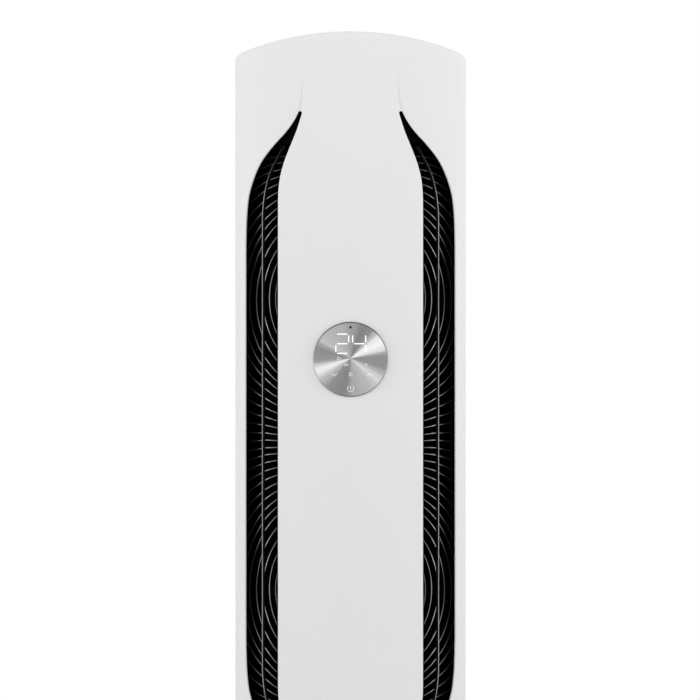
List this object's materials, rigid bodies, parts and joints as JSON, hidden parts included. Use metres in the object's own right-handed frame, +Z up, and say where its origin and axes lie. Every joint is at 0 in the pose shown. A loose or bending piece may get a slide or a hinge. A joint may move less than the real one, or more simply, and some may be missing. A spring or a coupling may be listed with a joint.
{
  "type": "floor standing air conditioner",
  "caption": "Tall floor-standing air conditioner tower with a curved front, crowned top, two vertical ribbed air outlets and a round display.",
  "frame": {"origin": "on the floor, under the middle of the casing's bounding box", "axes": "+X to the viewer's right when facing the front, +Y towards the back, +Z up"},
  "size_m": [0.366, 0.336, 1.81],
  "materials": {
    "white_casing": "satin white moulded plastic",
    "black_plastic": "gloss black moulded plastic",
    "dark_plastic": "matt dark grey moulded plastic",
    "grey_plastic": "matt grey moulded plastic",
    "spun_metal": "circularly brushed, silver",
    "smoked_lens": "smoked, polished",
    "circuit_board": "green solder mask",
    "sheet_steel": "galvanised sheet",
    "motor_steel": "pressed steel can",
    "screw_steel": "zinc plated",
    "coil_aluminium": "fin stock",
    "copper": "drawn copper tube",
    "brass": "machined",
    "rubber": "matt"
  },
  "bodies": {
    "casing": {"front_cover": "white_casing", "rear_cover": "white_casing", "top_cover": "white_casing", "rear_grille": "white_casing", "base_tray": "dark_plastic", "foot_front_left": "rubber", "foot_front_right": "rubber", "foot_rear_left": "rubber", "foot_rear_right": "rubber", "display_disc": "spun_metal", "receiver_lens": "smoked_lens", "display_board": "circuit_board", "display_holder": "black_plastic", "lower_deck": "sheet_steel", "upper_deck": "sheet_steel", "upright_left": "sheet_steel", "upright_right": "sheet_steel", "coil_fins": "coil_aluminium", "coil_bends_top": "copper", "coil_bends_bottom": "copper", "drain_pan": "dark_plastic", "gas_pipe": "copper", "liquid_pipe": "copper", "gas_flare_nut": "brass", "liquid_flare_nut": "brass", "filter_rail_top": "grey_plastic", "filter_rail_bottom": "grey_plastic", "control_box": "sheet_steel", "control_box_lid": "sheet_steel", "control_board": "circuit_board", "terminal_block": "black_plastic", "cable_gland": "black_plastic", "screw_lower_left": "screw_steel", "screw_lower_right": "screw_steel", "screw_upper_left": "screw_steel", "screw_upper_right": "screw_steel", "vent_guard_left": "black_plastic", "vent_guard_right": "black_plastic", "vent_bar_left": "black_plastic", "vent_bar_right": "black_plastic", "scroll_left": "dark_plastic", "scroll_right": "dark_plastic", "duct_wall_left": "dark_plastic", "duct_wall_right": "dark_plastic", "fan_bearing_left": "rubber", "fan_bearing_right": "rubber", "fan_motor_left": "motor_steel", "fan_motor_right": "motor_steel", "vane_motor_left": "grey_plastic", "vane_motor_right": "grey_plastic"},
    "fan_left": {"fan_left": "dark_plastic"},
    "fan_right": {"fan_right": "dark_plastic"},
    "vane_inner_left": {"vane_inner_left": "black_plastic"},
    "vane_outer_left": {"vane_outer_left": "black_plastic"},
    "vane_link_left": {"vane_link_left": "grey_plastic"},
    "vane_inner_right": {"vane_inner_right": "black_plastic"},
    "vane_outer_right": {"vane_outer_right": "black_plastic"},
    "vane_link_right": {"vane_link_right": "grey_plastic"},
    "filter_left": {"filter_left": "grey_plastic"},
    "filter_right": {"filter_right": "grey_plastic"}
  },
  "joints": [
    {"name": "fan_left_spin", "type": "hinge", "parent": "casing", "child": "fan_left", "pos_m": [-0.092, 0.005, 1.1], "axis": [0, 0, 1], "continuous": true},
    {"name": "fan_right_spin", "type": "hinge", "parent": "casing", "child": "fan_right", "pos_m": [0.092, 0.005, 1.1], "axis": [0, 0, 1], "continuous": true},
    {"name": "vane_left_swing", "type": "hinge", "parent": "casing", "child": "vane_inner_left", "pos_m": [-0.118, -0.084, 1.1], "axis": [0, 0, 1], "range_deg": [-30, 30]},
    {"name": "vane_outer_left_swing", "type": "hinge", "parent": "casing", "child": "vane_outer_left", "pos_m": [-0.148, -0.084, 1.1], "axis": [0, 0, 1], "range_deg": [-30, 30]},
    {"name": "vane_link_left_turn", "type": "hinge", "parent": "vane_inner_left", "child": "vane_link_left", "pos_m": [-0.118, -0.07, 1.675], "axis": [0, 0, 1], "range_deg": [-30, 30]},
    {"name": "vane_right_swing", "type": "hinge", "parent": "casing", "child": "vane_inner_right", "pos_m": [0.118, -0.084, 1.1], "axis": [0, 0, 1], "range_deg": [-30, 30]},
    {"name": "vane_outer_right_swing", "type": "hinge", "parent": "casing", "child": "vane_outer_right", "pos_m": [0.148, -0.084, 1.1], "axis": [0, 0, 1], "range_deg": [-30, 30]},
    {"name": "vane_link_right_turn", "type": "hinge", "parent": "vane_inner_right", "child": "vane_link_right", "pos_m": [0.118, -0.07, 1.675], "axis": [0, 0, 1], "range_deg": [-30, 30]},
    {"name": "filter_left_slide", "type": "slide", "parent": "casing", "child": "filter_left", "axis": [-1, 0, 0], "range_m": [0, 0.15]},
    {"name": "filter_right_slide", "type": "slide", "parent": "casing", "child": "filter_right", "axis": [1, 0, 0], "range_m": [0, 0.15]}
  ],
  "couplings": [
    {"joint": "vane_outer_left_swing", "follows": "vane_left_swing", "ratio": 1},
    {"joint": "vane_link_left_turn", "follows": "vane_left_swing", "ratio": -1},
    {"joint": "vane_outer_right_swing", "follows": "vane_right_swing", "ratio": 1},
    {"joint": "vane_link_right_turn", "follows": "vane_right_swing", "ratio": -1}
  ]
}
